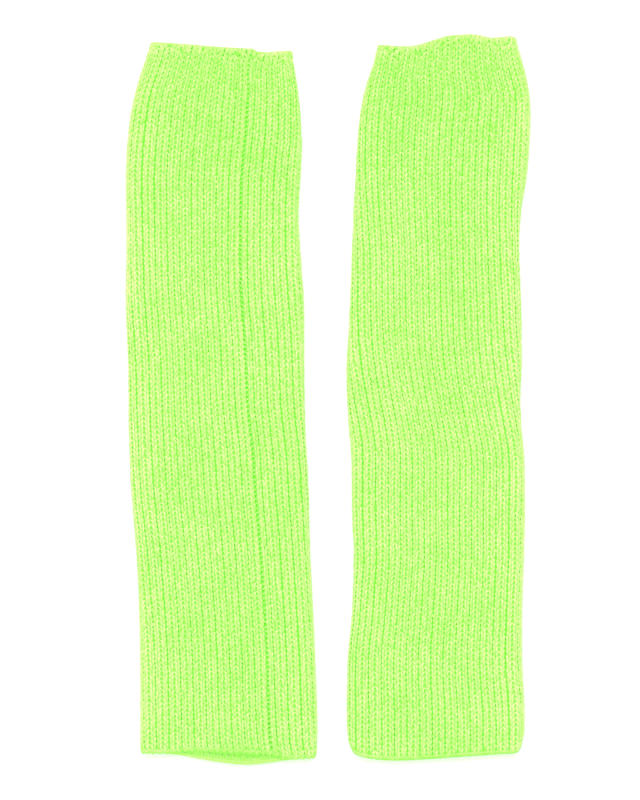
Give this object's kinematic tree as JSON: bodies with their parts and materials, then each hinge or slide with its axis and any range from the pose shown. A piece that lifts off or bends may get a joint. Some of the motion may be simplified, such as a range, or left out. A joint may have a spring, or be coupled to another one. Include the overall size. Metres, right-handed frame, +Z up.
{
  "type": "pair of leg warmers",
  "caption": "Pair of chunky rib-knit leg warmers laid flat side by side, each a long open tube drawn in at its upper edge and seamed along its length.",
  "frame": {"origin": "on the surface that the pair lies on, under the middle of the pair", "axes": "+Y along the legs towards the drawn-in upper edges, +X from the left leg warmer to the right one, +Z up from the surface"},
  "size_m": [0.2276, 0.4113, 0.0092],
  "materials": {
    "yarn": "chunky rib knit in soft, slightly fuzzy fluorescent yellow-green acrylic yarn, matt"
  },
  "bodies": {
    "root": {"left_leg_warmer": "yarn", "right_leg_warmer": "yarn"}
  },
  "joints": []
}
